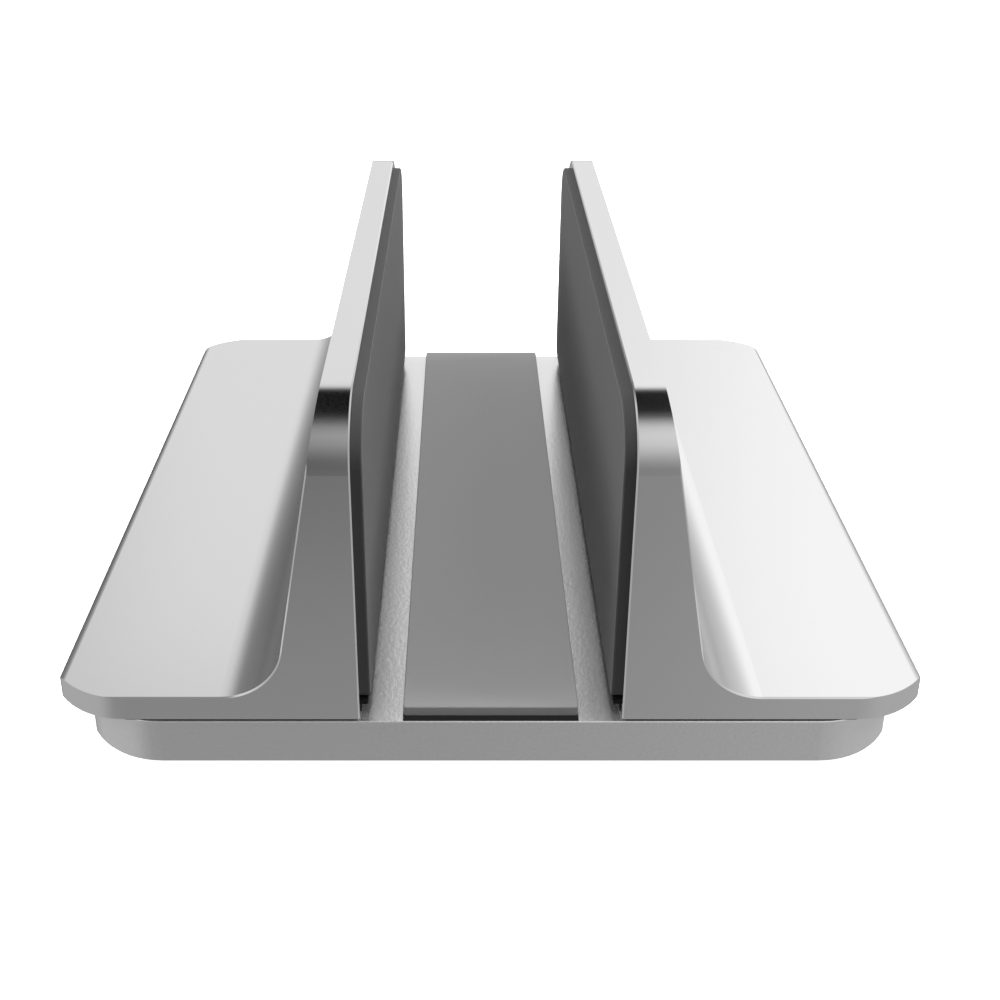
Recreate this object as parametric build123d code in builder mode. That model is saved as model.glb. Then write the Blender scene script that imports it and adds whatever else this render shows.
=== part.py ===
from build123d import *
import math
import os

# Vertical laptop stand: two sliding angle brackets clamped to a flat base plate.
# Millimetres, +Z up, +X to the right, -Y to the front.
# The origin is on the table, under the middle of the base plate.

# Base plate
base_width = 169.0
stand_depth = 160.0
base_thickness = 10.5
base_corner_radius = 20.0
base_side_trim = 3.5
corner_blend_radius = 3.0
base_edge_break = 0.15

# Rubber feet under the corners of the base
rubber_foot_diameter = 15.0
rubber_foot_stand_off = 1.0
rubber_foot_seat_depth = 0.5
rubber_foot_clearance = 0.1
rubber_foot_edge_distance = 16.5
rubber_foot_edge_break = 0.4

# Rubber strip in the middle of the base
strip_width = 36.0
strip_height_above_base = 2.3
strip_pocket_depth = 0.5
strip_end_inset = 1.7
strip_end_gap = 0.8
strip_side_clearance = 0.1
strip_corner_radius = 0.6
strip_edge_bevel = 0.2

# Angle brackets
slot_width_at_rest = 53.6
bracket_foot_length = 63.2
bracket_foot_thickness = 5.8
bracket_height = 71.4
upright_top_thickness = 6.3
upright_taper = 9.5
heel_radius = 13.1
foot_tip_radius = 2.0
foot_corner_radius = 19.4
foot_side_trim = 4.5
upright_corner_radius = 13.0
bracket_edge_break = 0.3

# Glide sheet under each bracket
glide_thickness = 0.4
glide_inset = 0.6
glide_tip_inset = 15.0
glide_hole_clearance = 0.4

# Rubber pad on the inner face of each upright
upright_pad_thickness = 2.1
upright_pad_inset = 2.3
upright_pad_strip_clearance = 1.1
upright_pad_bottom_radius = 2.5
upright_pad_edge_bevel = 0.3

# Sliding travel of each bracket
outward_travel = 9.5
inward_stop_gap = 0.3

# Clamp screws from below, M4 with a low head, and their flat washers
screw_distance_from_slot_face = 25.2
screw_row_spacing = 80.0
screw_shank_radius = 2.0
screw_length = 8.0
screw_head_radius = 3.5
screw_head_height = 2.8
screw_socket_across_flats = 2.5
screw_socket_depth = 1.6
screw_edge_break = 0.4
screw_hole_clearance = 0.05
screw_hole_extra_depth = 0.7
washer_outer_radius = 4.5
washer_inner_radius = 2.15
washer_thickness = 0.8
clamp_web_thickness = 3.5
slot_side_clearance = 0.25
slot_end_clearance = 0.3
recess_side_clearance = 0.5

# Heights, from the table up
base_bottom = rubber_foot_stand_off
base_top = base_bottom + base_thickness
bracket_bottom = base_top + glide_thickness
bracket_foot_top = bracket_bottom + bracket_foot_thickness
bracket_top = bracket_bottom + bracket_height
washer_top = base_top - clamp_web_thickness
screw_head_top = washer_top - washer_thickness
screw_head_bottom = screw_head_top - screw_head_height

# Places across the stand, for the bracket on the right
slot_face_x = slot_width_at_rest / 2
foot_tip_x = slot_face_x + bracket_foot_length
upright_outer_x = slot_face_x + upright_top_thickness
heel_x = upright_outer_x + (bracket_top - bracket_foot_top) * math.tan(math.radians(upright_taper))
screw_x = slot_face_x + screw_distance_from_slot_face
screw_y = screw_row_spacing / 2

# A bracket stops inwards at the rubber strip and outwards at the ends of its slots
inward_travel = slot_face_x - strip_width / 2 - inward_stop_gap
slot_middle_x = screw_x + (outward_travel - inward_travel) / 2
travel_length = outward_travel + inward_travel
slot_width = 2 * (screw_shank_radius + slot_side_clearance)
slot_length = travel_length + 2 * (screw_shank_radius + slot_end_clearance)
recess_width = 2 * (washer_outer_radius + recess_side_clearance)
recess_length = travel_length + 2 * (washer_outer_radius + slot_end_clearance)

rubber_foot_x = base_width / 2 - rubber_foot_edge_distance
rubber_foot_y = stand_depth / 2 - rubber_foot_edge_distance
sides = (("left", -1), ("right", 1))
rows = (("front", -1), ("rear", 1))

os.makedirs("parts", exist_ok=True)


def save(part, name):
    part.label = name
    export_step(part, f"parts/{name}.step")


def draw_plan(sketch, width, corner_radius, side_trim):
    """Draws a rounded rectangle, trims its two sides off square and blends the edges that this leaves."""
    RectangleRounded(width + 2 * side_trim, stand_depth, corner_radius)
    Rectangle(width, stand_depth, mode=Mode.INTERSECT)
    columns = sketch.vertices().group_by(Axis.X)
    fillet(columns[0] + columns[-1], corner_blend_radius)


# Base plate: milled slab with a pocket for the strip, seats for the feet and counterbored clamp slots
with BuildPart() as base_plate:
    with BuildSketch(Plane.XY.offset(base_bottom)) as base_outline:
        draw_plan(base_outline, base_width, base_corner_radius, base_side_trim)
    extrude(amount=base_thickness)
    chamfer(base_plate.faces().filter_by(Axis.Z).edges(), base_edge_break)

    pocket_length = stand_depth - 2 * (strip_end_inset - strip_end_gap)
    with BuildSketch(Plane.XY.offset(base_top)):
        RectangleRounded(strip_width + 2 * strip_side_clearance, pocket_length, strip_corner_radius)
    extrude(amount=-strip_pocket_depth, mode=Mode.SUBTRACT)

    with BuildSketch(Plane.XY.offset(base_bottom)):
        with GridLocations(2 * rubber_foot_x, 2 * rubber_foot_y, 2, 2):
            Circle(rubber_foot_diameter / 2 + rubber_foot_clearance)
    extrude(amount=rubber_foot_seat_depth, mode=Mode.SUBTRACT)

    with BuildSketch(Plane.XY.offset(base_bottom)):
        with GridLocations(2 * slot_middle_x, 2 * screw_y, 2, 2):
            SlotOverall(recess_length, recess_width)
    extrude(amount=base_thickness - clamp_web_thickness, mode=Mode.SUBTRACT)
    with BuildSketch(Plane.XY.offset(base_bottom)):
        with GridLocations(2 * slot_middle_x, 2 * screw_y, 2, 2):
            SlotOverall(slot_length, slot_width)
    extrude(amount=base_thickness, mode=Mode.SUBTRACT)
save(base_plate.part, "base_plate")

# Rubber strip that the laptop's edge stands on, set in the base's pocket
with BuildPart() as base_strip:
    with BuildSketch(Plane.XY.offset(base_top - strip_pocket_depth)):
        RectangleRounded(strip_width, stand_depth - 2 * strip_end_inset, strip_corner_radius)
    extrude(amount=strip_pocket_depth + strip_height_above_base)
    chamfer(base_strip.faces().sort_by(Axis.Z).last.edges(), strip_edge_bevel)
save(base_strip.part, "base_strip")

# Round rubber feet, one in a seat near each corner of the base
for side, side_sign in sides:
    for row, row_sign in rows:
        with BuildPart() as rubber_foot:
            with BuildSketch(Plane.XY):
                with Locations((side_sign * rubber_foot_x, row_sign * rubber_foot_y)):
                    Circle(rubber_foot_diameter / 2)
            extrude(amount=rubber_foot_stand_off + rubber_foot_seat_depth)
            chamfer(rubber_foot.faces().sort_by(Axis.Z)[0].edges(), rubber_foot_edge_break)
        save(rubber_foot.part, f"{side}_{row}_rubber_foot")

# Right bracket: an extruded angle, trimmed to rounded corners in plan and in side view
with BuildPart() as right_bracket:
    with BuildSketch(Plane.XZ) as angle_section:
        with BuildLine():
            Polyline(
                (slot_face_x, bracket_bottom),
                (foot_tip_x, bracket_bottom),
                (foot_tip_x, bracket_foot_top),
                (heel_x, bracket_foot_top),
                (upright_outer_x, bracket_top),
                (slot_face_x, bracket_top),
                close=True,
            )
        make_face()
        fillet(angle_section.vertices().sort_by_distance((heel_x, bracket_foot_top)).first, heel_radius)
        fillet(angle_section.vertices().sort_by_distance((foot_tip_x, bracket_foot_top)).first, foot_tip_radius)
    extrude(amount=stand_depth / 2, both=True)
    outer_edges = right_bracket.faces().filter_by(Axis.Y).edges()
    outer_edges = outer_edges.filter_by_position(Axis.X, slot_face_x + bracket_edge_break, foot_tip_x)
    outer_edges = outer_edges.filter_by_position(Axis.Z, bracket_bottom + bracket_edge_break, bracket_top)
    chamfer(outer_edges, bracket_edge_break)

    with BuildSketch(Plane.XY.offset(bracket_bottom)) as brackets_outline:
        draw_plan(brackets_outline, 2 * foot_tip_x, foot_corner_radius, foot_side_trim)
    extrude(amount=bracket_height, mode=Mode.INTERSECT)

    with BuildSketch(Plane.YZ.offset(slot_face_x)) as side_outline:
        with Locations((0, bracket_bottom)):
            Rectangle(stand_depth, bracket_height, align=(Align.CENTER, Align.MIN))
        fillet(side_outline.vertices().group_by(Axis.Y)[-1], upright_corner_radius)
    extrude(amount=bracket_foot_length, mode=Mode.INTERSECT)

    slot_face_edges = right_bracket.faces().sort_by(Axis.X).first.edges()
    underside_edges = right_bracket.faces().sort_by(Axis.Z).first.edges()
    underside_edges = underside_edges.filter_by(lambda edge: edge not in slot_face_edges)
    chamfer(slot_face_edges + underside_edges, bracket_edge_break)

    hole_depth = screw_length - washer_thickness - clamp_web_thickness - glide_thickness + screw_hole_extra_depth
    with Locations(Plane((screw_x, 0, bracket_bottom), z_dir=(0, 0, -1))):
        with GridLocations(0, screw_row_spacing, 1, 2):
            Hole(screw_shank_radius + screw_hole_clearance, depth=hole_depth)
save(right_bracket.part, "right_bracket")

# Left bracket: the same extrusion turned round, which makes it the mirror image
with BuildPart() as left_bracket:
    mirror(right_bracket.part, about=Plane.YZ)
save(left_bracket.part, "left_bracket")

# Glide sheet stuck under each bracket, so that it slides without scratching the base
glide_length = bracket_foot_length - glide_inset - glide_tip_inset
glide_middle_x = slot_face_x + glide_inset + glide_length / 2
for side, side_sign in sides:
    with BuildPart() as glide_sheet:
        with BuildSketch(Plane.XY.offset(base_top)):
            with Locations((side_sign * glide_middle_x, 0)):
                Rectangle(glide_length, stand_depth - 2 * glide_inset)
            with Locations((side_sign * screw_x, 0)):
                with GridLocations(0, screw_row_spacing, 1, 2):
                    Circle(screw_shank_radius + glide_hole_clearance, mode=Mode.SUBTRACT)
        extrude(amount=glide_thickness)
    save(glide_sheet.part, f"{side}_glide_sheet")

# Rubber pad stuck on each slot face, following the upright's rounded top corners.
# Its lower edge passes over the strip when the bracket slides in.
pad_length = stand_depth - 2 * upright_pad_inset
pad_bottom = base_top + strip_height_above_base + upright_pad_strip_clearance
pad_height = bracket_top - upright_pad_inset - pad_bottom
for side, side_sign in sides:
    with BuildPart() as upright_pad:
        with BuildSketch(Plane.YZ.offset(side_sign * slot_face_x)) as pad_outline:
            with Locations((0, pad_bottom)):
                Rectangle(pad_length, pad_height, align=(Align.CENTER, Align.MIN))
            fillet(pad_outline.vertices().group_by(Axis.Y)[0], upright_pad_bottom_radius)
            fillet(pad_outline.vertices().group_by(Axis.Y)[-1], upright_corner_radius - upright_pad_inset)
        extrude(amount=-side_sign * upright_pad_thickness)
        faces_across = upright_pad.faces().sort_by(Axis.X)
        slot_side_face = faces_across.first if side_sign > 0 else faces_across.last
        chamfer(slot_side_face.edges(), upright_pad_edge_bevel)
    save(upright_pad.part, f"{side}_upright_pad")

# Clamp screws: low cylinder head downwards, hexagon socket, and a shank up into the bracket's foot
for side, side_sign in sides:
    for row, row_sign in rows:
        with BuildPart() as clamp_screw:
            with BuildSketch(Plane.XY.offset(screw_head_bottom)):
                with Locations((side_sign * screw_x, row_sign * screw_y)):
                    Circle(screw_head_radius)
            extrude(amount=screw_head_height)
            chamfer(clamp_screw.faces().sort_by(Axis.Z).first.edges(), screw_edge_break)
            with BuildSketch(Plane.XY.offset(screw_head_top)):
                with Locations((side_sign * screw_x, row_sign * screw_y)):
                    Circle(screw_shank_radius)
            extrude(amount=screw_length)
            chamfer(clamp_screw.faces().sort_by(Axis.Z).last.edges(), screw_edge_break)
            with BuildSketch(Plane.XY.offset(screw_head_bottom)):
                with Locations((side_sign * screw_x, row_sign * screw_y)):
                    RegularPolygon(screw_socket_across_flats / 2, 6, major_radius=False)
            extrude(amount=screw_socket_depth, mode=Mode.SUBTRACT)
        save(clamp_screw.part, f"{side}_{row}_screw")

        with BuildPart() as flat_washer:
            with BuildSketch(Plane.XY.offset(screw_head_top)):
                with Locations((side_sign * screw_x, row_sign * screw_y)):
                    Circle(washer_outer_radius)
                    Circle(washer_inner_radius, mode=Mode.SUBTRACT)
            extrude(amount=washer_thickness)
        save(flat_washer.part, f"{side}_{row}_washer")
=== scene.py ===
import bmesh
import bpy
import math
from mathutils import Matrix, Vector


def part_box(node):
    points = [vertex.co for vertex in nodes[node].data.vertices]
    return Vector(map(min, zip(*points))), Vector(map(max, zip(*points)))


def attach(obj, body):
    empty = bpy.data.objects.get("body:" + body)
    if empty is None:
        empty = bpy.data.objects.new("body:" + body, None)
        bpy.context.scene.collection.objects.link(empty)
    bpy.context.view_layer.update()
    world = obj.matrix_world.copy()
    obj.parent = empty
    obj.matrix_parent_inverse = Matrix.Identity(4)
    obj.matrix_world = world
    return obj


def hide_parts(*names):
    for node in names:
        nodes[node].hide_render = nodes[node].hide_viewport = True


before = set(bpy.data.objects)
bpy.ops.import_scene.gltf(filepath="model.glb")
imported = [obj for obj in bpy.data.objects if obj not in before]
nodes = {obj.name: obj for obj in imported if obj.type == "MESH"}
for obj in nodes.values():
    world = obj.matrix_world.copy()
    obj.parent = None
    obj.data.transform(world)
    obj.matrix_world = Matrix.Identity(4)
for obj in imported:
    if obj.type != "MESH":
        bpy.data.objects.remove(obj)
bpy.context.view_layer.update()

# The view: a camera in front of the slot that looks down between the two uprights. Its lens is shifted,
# because the stand lies below its line of sight and a little to the right of it.
camera_place = (-0.00535, -0.2673, 0.1937)
camera_pitch_down = math.radians(21.08)
camera_lens = 42.29
camera_shift = (0.0353, -0.28)

camera = bpy.data.objects.new("camera", bpy.data.cameras.new("camera"))
bpy.context.scene.collection.objects.link(camera)
camera.location = camera_place
camera.rotation_euler = (math.pi / 2 - camera_pitch_down, 0, 0)
camera.data.sensor_width = 36
camera.data.lens = camera_lens
camera.data.shift_x, camera.data.shift_y = camera_shift
camera.data.clip_start = 0.01
camera.data.clip_end = 100
bpy.context.scene.camera = camera


# The studio: white paper below and all round, and a soft grey room that the metal reflects.
# A bright wall stands at the back and a black flag hangs overhead. A dark card stands at the back left
# and a pale one at the back right.
class Shade:
    """A socket in a node tree. Sums with it add Math nodes to that tree."""

    def __init__(self, tree, socket=None):
        self.tree = tree
        self.socket = socket

    def node(self, kind, settings=None, inputs=None, output=0):
        """Adds a node: its settings first, then the values or links of its sockets."""
        made = self.tree.nodes.new(kind)
        for name, value in (settings or {}).items():
            if name == "stops":
                stops = made.color_ramp.elements
                while len(stops) > 1:
                    stops.remove(stops[-1])
                stops[0].position, first_grey = value[0]
                stops[0].color = (first_grey, first_grey, first_grey, 1)
                for place, grey in value[1:]:
                    stops.new(place).color = (grey, grey, grey, 1)
            else:
                setattr(made, name, value)
        for name, value in (inputs or {}).items():
            if isinstance(value, Shade):
                self.tree.links.new(value.socket, made.inputs[name])
            else:
                made.inputs[name].default_value = value
        return Shade(self.tree, made.outputs[output] if made.outputs else None)

    def sum(self, operation, *terms):
        """A Math node with this operation."""
        return self.node("ShaderNodeMath", {"operation": operation}, dict(enumerate(terms)))

    def __add__(self, other):
        return self.sum("ADD", self, other)

    __radd__ = __add__

    def __sub__(self, other):
        return self.sum("SUBTRACT", self, other)

    def __rsub__(self, other):
        return self.sum("SUBTRACT", other, self)

    def __mul__(self, other):
        return self.sum("MULTIPLY", self, other)

    __rmul__ = __mul__

    def __truediv__(self, other):
        return self.sum("DIVIDE", self, other)

    def __abs__(self):
        return self.sum("ABSOLUTE", self)

    def step(self, start, end):
        """Goes smoothly from 0 at start to 1 at end."""
        return self.node(
            "ShaderNodeMapRange",
            {"interpolation_type": "SMOOTHSTEP"},
            {"Value": self, "From Min": start, "From Max": end, "To Min": 0.0, "To Max": 1.0},
        )

    def parts(self):
        """The three numbers of a vector."""
        split = self.node("ShaderNodeSeparateXYZ", inputs={0: self}).socket.node
        return [Shade(self.tree, number) for number in split.outputs]

    def greys(self, lowest, highest, stops):
        """A ramp of greys over a number that goes from lowest to highest."""
        reach = highest - lowest
        ramp = [((value - lowest) / reach, grey) for value, grey in stops]
        place = (self - lowest) / reach
        return place.node("ShaderNodeValToRGB", {"stops": ramp}, {"Fac": place})

    def blend(self, first, second):
        """The first colour where this number is 0, and the second where it is 1."""
        return self.node(
            "ShaderNodeMix", {"data_type": "RGBA"}, {"Factor": self, "A": first, "B": second}, "Result"
        )


scene = bpy.context.scene
scene.view_settings.view_transform = "Standard"
world = bpy.data.worlds.new("studio_light")
world.use_nodes = True
scene.world = world
world.node_tree.nodes.clear()
sky = Shade(world.node_tree)
to_right, to_back, upwards = sky.node("ShaderNodeTexCoord", output="Generated").parts()

# Angles in degrees: the tilt goes from the front, over the top, to the back,
# and the bearing is 0 at the back and grows to the right. A stop is an angle and the grey there.
degree = math.pi / 180
tilt = sky.sum("ARCTAN2", upwards, 0 - to_back) / degree
bearing = sky.sum("ARCTAN2", to_right, to_back) / degree
left_room = tilt.greys(-180, 180, [
    (-90, 0.34), (-55, 0.28), (-43, 0.26), (-37, 0.21), (-30, 0.14), (-20, 0.12), (-6, 0.12),
    (8, 0.18), (22, 0.26), (37, 0.31), (50, 0.24), (60, 0.11), (69, 0.03), (78, 0.006),
    (117, 0.004), (124, 0.03), (133, 0.64), (140, 0.77), (165, 0.79), (180, 0.7)])
right_room = tilt.greys(-180, 180, [
    (-90, 0.38), (-55, 0.37), (-43, 0.345), (-37, 0.31), (-22, 0.26), (-8, 0.36), (8, 0.56),
    (22, 0.72), (37, 0.78), (50, 0.70), (60, 0.42), (69, 0.11), (80, 0.008), (115, 0.006),
    (122, 0.04), (131, 0.95), (134, 1.04), (141, 1.05), (152, 1.02), (180, 0.97)])
brighter_to_the_right = 0.83 + 0.2 * to_right.step(0.1, 0.34)
right_room = brighter_to_the_right * right_room
room_before = to_right.step(-0.12, 0.12).blend(left_room, right_room)
room_beside = upwards.greys(-1, 1, [(-1, 0.4), (-0.3, 0.42), (0, 0.45), (0.3, 0.6), (0.7, 0.8), (1, 0.7)])

# Far to either side the room changes to its side walls, and overhead it does so sooner.
overhead = upwards.step(0.7, 0.85)
room = abs(to_right).step(0.34 - 0.08 * overhead, 0.62 - 0.26 * overhead).blend(room_before, room_beside)

# The cards dim the room at these bearings, up to their soft top edges.
card = bearing.greys(-180, 180, [
    (-66, 1), (-54, 0.6), (-46, 0.37), (-41, 0.31), (-36, 0.30), (-33, 0.33), (-31, 0.36),
    (-28, 0.43), (-25, 0.54), (-22.5, 0.68), (-19, 0.88), (-15, 1),
    (16, 1), (20, 0.97), (24, 0.92), (29, 0.87), (34, 0.88), (41, 0.97), (46, 1)])
under_card_top = upwards.step(0.75, 0.45)
room_left_by_cards = 1 - (1 - card) * under_card_top
light = sky.node("ShaderNodeBackground", inputs={"Color": room, "Strength": room_left_by_cards})
light.node("ShaderNodeOutputWorld", inputs={"Surface": light})


def soft_lamp(name, tilt_from_top, strength, spread):
    """A soft lamp over the stand, tilted to the right by some degrees. The metal doesn't mirror it."""
    lamp = bpy.data.objects.new(name, bpy.data.lights.new(name, "SUN"))
    scene.collection.objects.link(lamp)
    lamp.rotation_euler = (0, math.radians(tilt_from_top), 0)
    lamp.data.energy = strength
    lamp.data.angle = math.radians(spread)
    lamp.visible_glossy = False


soft_lamp("lamp_above", tilt_from_top=0, strength=1.9, spread=8)
soft_lamp("lamp_on_the_right", tilt_from_top=45, strength=1.9, spread=20)
soft_lamp("lamp_on_the_left", tilt_from_top=-58, strength=1.45, spread=24)


def studio_paper(name, grey, glow):
    """Plain matte paper that gives off some light of its own."""
    surface = bpy.data.materials.new(name)
    surface.use_nodes = True
    shader = surface.node_tree.nodes["Principled BSDF"]
    shader.inputs["Base Color"].default_value = (grey, grey, grey, 1)
    shader.inputs["Roughness"].default_value = 1.0
    shader.inputs["Specular IOR Level"].default_value = 0.0
    shader.inputs["Emission Color"].default_value = (1, 1, 1, 1)
    shader.inputs["Emission Strength"].default_value = glow
    return surface


# Only the camera sees these papers. The room and the lamps light the stand.
paper_radius = 4.0
bpy.ops.mesh.primitive_circle_add(vertices=96, radius=paper_radius, fill_type="NGON")
floor = bpy.context.object
floor.name = "floor"
floor_paper = studio_paper("floor_paper", grey=0.8, glow=0.95)
floor.data.materials.append(floor_paper)
floor.visible_glossy = False
floor.visible_diffuse = False

# The paper doesn't glow under the base plate, in a rectangle with corners rounded by shade_radius. This
# paints a shadow there, deepened by the lamps' real shadow.
shade_half_width, shade_half_depth, shade_radius, shade_edge = 0.0665, 0.060, 0.0192, 0.0015
beside, before, _ = Shade(floor_paper.node_tree).node("ShaderNodeTexCoord", output="Object").parts()
beyond_width = before.sum("MAXIMUM", abs(beside) - shade_half_width, 0)
beyond_depth = before.sum("MAXIMUM", abs(before) - shade_half_depth, 0)
from_plate = before.sum("SQRT", beyond_width * beyond_width + beyond_depth * beyond_depth)
glow_colour = from_plate.step(shade_radius - shade_edge, shade_radius).blend((0, 0, 0, 1), (1, 1, 1, 1))
paper_shader = floor_paper.node_tree.nodes["Principled BSDF"]
floor_paper.node_tree.links.new(glow_colour.socket, paper_shader.inputs["Emission Color"])

bpy.ops.mesh.primitive_ico_sphere_add(subdivisions=4, radius=paper_radius)
backdrop = bpy.context.object
backdrop.name = "backdrop"
backdrop.data.materials.append(studio_paper("backdrop_paper", grey=0.0, glow=1.2))
backdrop.visible_glossy = False
backdrop.visible_diffuse = False
backdrop.visible_shadow = False
backdrop.visible_transmission = False


# The base plate: a slab milled from thick aluminium plate, with round corners and a pocket for the strip.
# It is blasted with coarse beads and anodised silver, so its top shows the pads only as a soft shade.
clouds_per_metre, cloud = 45.0, 0.03


def surface_of(name, grey, roughness, metallic, grain, mottle, dents, shine=0.5):
    """A finish with a fine grain in its colour and surface, and broad soft clouds in its gloss.

    The grey is a number, or a function of the place on the piece. The grain and the dents' depth
    are in metres, and mottle and cloud say how much the colour and the gloss vary.
    """
    surface = bpy.data.materials.new(name)
    surface.use_nodes = True
    tree = surface.node_tree
    shader = tree.nodes["Principled BSDF"]
    place = Shade(tree).node("ShaderNodeTexCoord", output="Object")
    fine = place.node("ShaderNodeTexNoise", {}, {"Vector": place, "Scale": 1 / grain, "Detail": 2.0})
    broad = place.node(
        "ShaderNodeTexNoise", {}, {"Vector": place, "Scale": clouds_per_metre, "Detail": 2.0})
    own_grey = grey(*place.parts()) if callable(grey) else grey
    shade = own_grey * (1 + (fine - 0.5) * mottle + (broad - 0.5) * 0.5 * cloud)
    colour = shade.node("ShaderNodeCombineColor", inputs={0: shade, 1: shade, 2: shade})
    tree.links.new(colour.socket, shader.inputs["Base Color"])
    tree.links.new((roughness + (broad - 0.5) * cloud).socket, shader.inputs["Roughness"])
    shader.inputs["Metallic"].default_value = metallic
    shader.inputs["Specular IOR Level"].default_value = shine
    relief = fine.node("ShaderNodeBump", {}, {"Height": fine, "Strength": 1.0, "Distance": dents})
    tree.links.new(relief.socket, shader.inputs["Normal"])
    return surface


def finish_with(surface, *names):
    """Gives the named pieces this finish."""
    for name in names:
        for slot in nodes[name].material_slots:
            slot.material = surface


blasted_aluminium = surface_of(
    "blasted_aluminium", grey=0.95, roughness=0.24, metallic=0.84, grain=0.0008, mottle=0.08, dents=0.00003)
finish_with(blasted_aluminium, "base_plate")

# The rubber strip: a flat bar of moulded grey silicone, with a fine matte skin from its mould.
# It is pressed into the base's pocket, and the laptop's edge stands on it.
strip_silicone = surface_of(
    "strip_silicone", grey=0.3, roughness=0.6, metallic=0.0, grain=0.0005, mottle=0.06, dents=0.000004,
    shine=0.3)
finish_with(strip_silicone, "base_strip")


# The strip's painted shadow: a thin black sheet under the strip, which paints the shade at its ends.
# It is a little longer than the strip, and shows as a dark line of painted shadow at the strip's ends.
def drawn_length(name, outline, front, rear, surface):
    """A length of one outline, given as places across and up, from front to rear."""
    shape = bmesh.new()
    ends = [[shape.verts.new((across, along, up)) for across, up in outline] for along in (front, rear)]
    for number in range(len(outline)):
        after = (number + 1) % len(outline)
        shape.faces.new((ends[0][number], ends[0][after], ends[1][after], ends[1][number]))
    for end in ends:
        shape.faces.new(end)
    bmesh.ops.recalc_face_normals(shape, faces=shape.faces)
    mesh = bpy.data.meshes.new(name)
    shape.to_mesh(mesh)
    shape.free()
    mesh.materials.append(surface)
    drawn = bpy.data.objects.new(name, mesh)
    scene.collection.objects.link(drawn)
    return drawn


plate_low, plate_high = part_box("base_plate")
strip_low, strip_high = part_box("base_strip")
shadow_film_thickness, shadow_film_end_gap = 0.00005, 0.00025
# This black film paints shadow, here and under the pads.
painted_shadow_film = surface_of(
    "painted_shadow_film", grey=0.014, roughness=0.7, metallic=0.0, grain=0.0005, mottle=0.1, dents=0.000002,
    shine=0.1)
shadow_film_bottom, shadow_film_top = plate_high.z, plate_high.z + shadow_film_thickness
strip_painted_shadow = drawn_length(
    "strip_painted_shadow",
    [(strip_low.x, shadow_film_bottom), (strip_high.x, shadow_film_bottom),
     (strip_high.x, shadow_film_top), (strip_low.x, shadow_film_top)],
    plate_low.y + shadow_film_end_gap, plate_high.y - shadow_film_end_gap, painted_shadow_film)
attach(strip_painted_shadow, "base")

# The rubber feet: four black rubber discs with a rounded lower edge.
# They are glued into round seats near the corners of the base's underside.
sides = ("left", "right")
corners = [f"{side}_{row}" for side in sides for row in ("front", "rear")]
black_rubber = surface_of(
    "black_rubber", grey=0.03, roughness=0.6, metallic=0.0, grain=0.0005, mottle=0.1, dents=0.000005)
finish_with(black_rubber, *[f"{corner}_rubber_foot" for corner in corners])

# The brackets: two lengths of extruded aluminium angle, cut, rounded, finely blasted and anodised.
# Each slides across the base on its foot, and its upright holds the laptop.
satin_aluminium = surface_of(
    "satin_aluminium", grey=0.9, roughness=0.16, metallic=1.0, grain=0.0006, mottle=0.02, dents=0.000003)
finish_with(satin_aluminium, *[f"{side}_bracket" for side in sides])

# The upright pads: dark grey silicone sheets, stuck on the slot faces so that the laptop isn't scratched.
# The faces towards the laptop are a lighter grey than the cut edges, whose darker grey is painted shade.
pad_face_x = abs(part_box("left_upright_pad")[1].x)
pad_face_grey, pad_edge_painted_shade_grey = 0.155, 0.062
face_depth, edge_depth = 0.00003, 0.0001


def pad_grey_with_painted_shade(across, along, up):
    """The pad's grey, from the lighter face to the edge behind it, which is darkened with painted shade."""
    painted_shade_mask = abs(across).step(pad_face_x + face_depth, pad_face_x + edge_depth)
    return pad_face_grey - (pad_face_grey - pad_edge_painted_shade_grey) * painted_shade_mask


pad_silicone = surface_of(
    "pad_silicone", grey=pad_grey_with_painted_shade, roughness=0.6, metallic=0.0, grain=0.0005, mottle=0.06, dents=0.000004,
    shine=0.3)
finish_with(pad_silicone, *[f"{side}_upright_pad" for side in sides])

# The pads' painted shadow: a thin black sheet on each slot face, from the foot up to the pad, with a lip
# below it.
# It paints the shade under the pad and rides with the bracket, and the lip is high enough to pass over the
# rubber strip.
shadow_sheet_thickness, shadow_sheet_foot_gap, lip_reach, lip_clearance = 0.0002, 0.0003, 0.0016, 0.0002
for side, inwards in zip(sides, (1, -1)):
    pad_low, pad_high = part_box(f"{side}_upright_pad")
    bracket_low, bracket_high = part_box(f"{side}_bracket")
    slot_face = bracket_high.x if inwards > 0 else bracket_low.x
    film_face, lip_face = slot_face + inwards * shadow_sheet_thickness, slot_face + inwards * lip_reach
    foot_level, lip_level = bracket_low.z + shadow_sheet_foot_gap, strip_high.z + lip_clearance
    pad_painted_shadow = drawn_length(
        f"{side}_pad_painted_shadow",
        [(slot_face, foot_level), (film_face, foot_level), (film_face, lip_level),
         (lip_face, lip_level), (lip_face, pad_low.z), (slot_face, pad_low.z)],
        pad_low.y, pad_high.y, painted_shadow_film)
    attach(pad_painted_shadow, f"{side}_slider")

# The glide sheets: thin black plastic film, seen as the dark seam between a bracket and the base.
# It is stuck under each bracket's foot, so that the metal doesn't scrape as the bracket slides.
glide_film = surface_of(
    "glide_film", grey=0.05, roughness=0.4, metallic=0.0, grain=0.0005, mottle=0.1, dents=0.000002)
finish_with(glide_film, *[f"{side}_glide_sheet" for side in sides])

# The washers: flat rings stamped from steel and zinc plated.
# Each lies between a screw's head and the ledge of its slot in the base.
zinc_steel = surface_of(
    "zinc_steel", grey=0.6, roughness=0.3, metallic=1.0, grain=0.0006, mottle=0.08, dents=0.000004)
finish_with(zinc_steel, *[f"{corner}_washer" for corner in corners])

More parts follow.
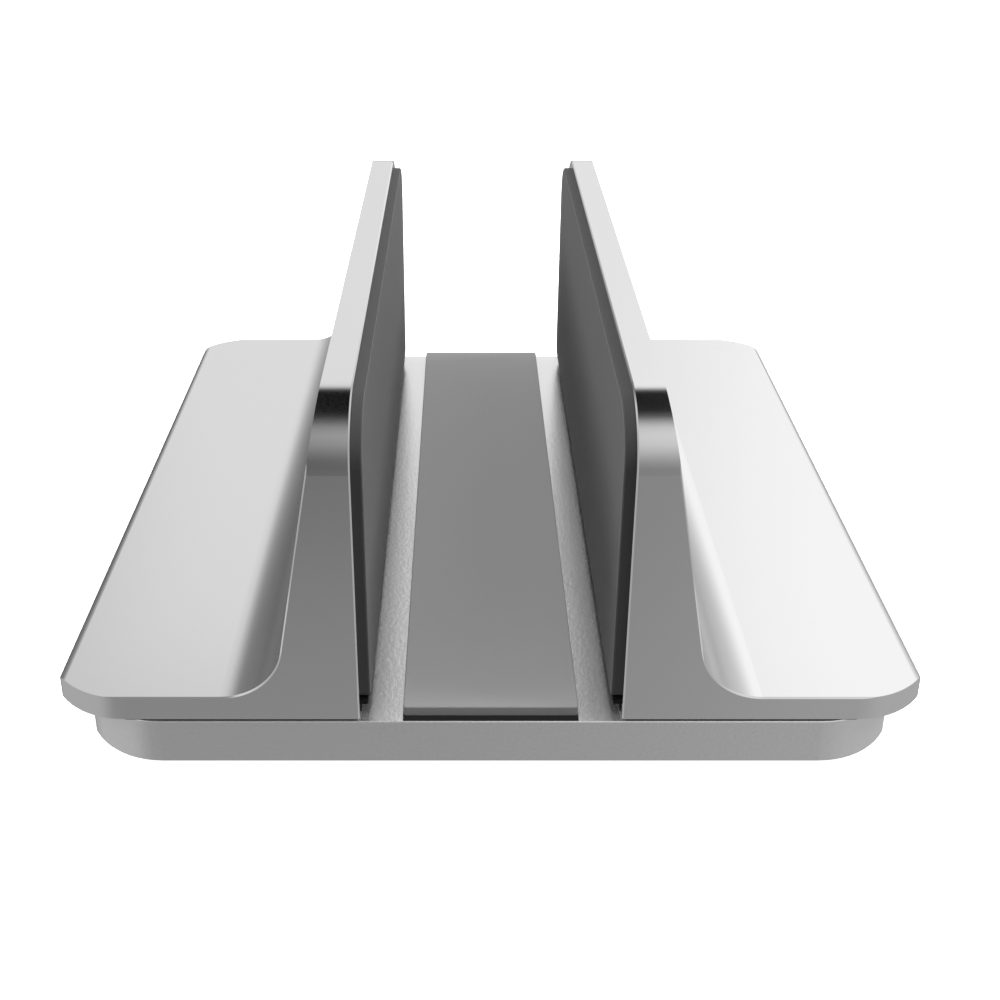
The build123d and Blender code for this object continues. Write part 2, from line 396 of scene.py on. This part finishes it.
# The clamp screws: zinc plated steel M4 screws with a low round head, driven up into the brackets' feet.
# Each is pressed as a plain blank with a hexagon socket, and then its thread is rolled into the shank.
screw_sides = 36
socket_to_flat, socket_depth = 0.00125, 0.0016
head_height, head_edge = 0.0028, 0.0004
shank_radius, tip_radius = 0.002, 0.0016
thread_pitch, thread_depth = 0.0007, 0.00043
thread_start_above_head, plain_tip = 0.001, 0.0004
rings_per_turn = 8
hexagon_half_side = 30

roll_thread = bpy.data.node_groups.new("roll_thread", "GeometryNodeTree")
for socket_name, kind in (
        ("Blank", "Geometry"), ("Centre", "Vector"), ("Start", "Float"), ("End", "Float"),
        ("Pitch", "Float"), ("Depth", "Float"), ("Finish", "Material")):
    roll_thread.interface.new_socket(name=socket_name, in_out="INPUT", socket_type="NodeSocket" + kind)
roll_thread.interface.new_socket(name="Screw", in_out="OUTPUT", socket_type="NodeSocketGeometry")
entry = roll_thread.nodes.new("NodeGroupInput")
given = {socket.name: Shade(roll_thread, socket) for socket in entry.outputs if socket.name}
here = Shade(roll_thread).node("GeometryNodeInputPosition")
from_axis = here.node("ShaderNodeVectorMath", {"operation": "SUBTRACT"}, {0: here, 1: given["Centre"]})
aside, behind, height = from_axis.parts()

# The groove winds up round the axis, and runs out within one pitch of either end.
turns = height / given["Pitch"] - aside.sum("ARCTAN2", behind, aside) / (2 * math.pi)
groove = 2 * turns.sum("PINGPONG", turns, 0.5)
rise = height.step(given["Start"], given["Start"] + given["Pitch"])
fall = height.step(given["End"], given["End"] - given["Pitch"])

# The groove moves the shank's points towards the axis.
flat_place = aside.node("ShaderNodeCombineXYZ", inputs={0: aside, 1: behind})
outward = flat_place.node("ShaderNodeVectorMath", {"operation": "NORMALIZE"}, {0: flat_place})
cut_depth = 0 - given["Depth"] * groove * rise * fall
cut = outward.node("ShaderNodeVectorMath", {"operation": "SCALE"}, {0: outward, "Scale": cut_depth})
rolled = cut.node("GeometryNodeSetPosition", inputs={"Geometry": given["Blank"], "Offset": cut})
whole = rolled.node("GeometryNodeRealizeInstances", inputs={"Geometry": rolled})
finished = whole.node("GeometryNodeSetMaterial", inputs={"Geometry": whole, "Material": given["Finish"]})
finished.node("NodeGroupOutput", inputs={0: finished})


def screw_blank(name, centre_x, centre_y, head_bottom, head_radius, tip):
    """The screw before its thread: rings of points from the socket's floor, round the head, to the tip."""
    head_top = head_bottom + head_height
    thread_start = head_top + thread_start_above_head
    thread_end = tip - plain_tip
    profile = [
        (socket_to_flat, head_bottom + socket_depth, True),
        (socket_to_flat, head_bottom, True),
        (head_radius - head_edge, head_bottom, False),
        (head_radius, head_bottom + head_edge, False),
        (head_radius, head_top, False),
        (shank_radius, head_top, False)]
    rings_of_thread = round((thread_end - thread_start) / thread_pitch * rings_per_turn)
    for ring in range(rings_of_thread + 1):
        share = ring / rings_of_thread
        profile.append((shank_radius, thread_start + (thread_end - thread_start) * share, False))
    profile.append((tip_radius, tip, False))
    points = [(centre_x, centre_y, profile[0][1])]
    for reach, level, six_sided in profile:
        for step in range(screw_sides):
            turn = 360 * step / screw_sides
            from_flat = (turn + hexagon_half_side) % (2 * hexagon_half_side) - hexagon_half_side
            radius = reach / math.cos(math.radians(from_flat)) if six_sided else reach
            points.append((
                centre_x + radius * math.cos(math.radians(turn)),
                centre_y + radius * math.sin(math.radians(turn)),
                level))
    last_ring = len(points) - screw_sides
    points.append((centre_x, centre_y, tip))
    tip_point = len(points) - 1
    faces = []
    for step in range(screw_sides):
        after = (step + 1) % screw_sides
        faces.append((0, 1 + after, 1 + step))
        for ring in range(len(profile) - 1):
            this_ring = 1 + ring * screw_sides
            next_ring = this_ring + screw_sides
            faces.append((this_ring + step, this_ring + after, next_ring + after, next_ring + step))
        faces.append((last_ring + step, last_ring + after, tip_point))
    mesh = bpy.data.meshes.new(name)
    mesh.from_pydata(points, [], faces)
    blank = bpy.data.objects.new(name, mesh)
    scene.collection.objects.link(blank)
    return blank, thread_start, thread_end


edge_angle = math.radians(35)
for corner in corners:
    low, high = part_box(f"{corner}_screw")
    middle_x, middle_y = (low.x + high.x) / 2, (low.y + high.y) / 2
    screw, thread_start, thread_end = screw_blank(
        f"{corner}_threaded_screw", middle_x, middle_y, low.z, (high.x - low.x) / 2, high.z)
    rolling = screw.modifiers.new("rolling", "NODES")
    rolling.node_group = roll_thread
    settings = {
        "Centre": (middle_x, middle_y, 0.0), "Start": thread_start, "End": thread_end,
        "Pitch": thread_pitch, "Depth": thread_depth, "Finish": zinc_steel}
    for socket in roll_thread.interface.items_tree:
        if socket.name in settings:
            rolling[socket.identifier] = settings[socket.name]
    shaped = screw.evaluated_get(bpy.context.evaluated_depsgraph_get())
    plain_mesh = bpy.data.meshes.new_from_object(shaped)
    screw.modifiers.remove(rolling)
    screw.data = plain_mesh
    plain_mesh.shade_smooth()
    plain_mesh.set_sharp_from_angle(angle=edge_angle)
    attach(screw, f"{corner}_screw")
    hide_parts(f"{corner}_screw")
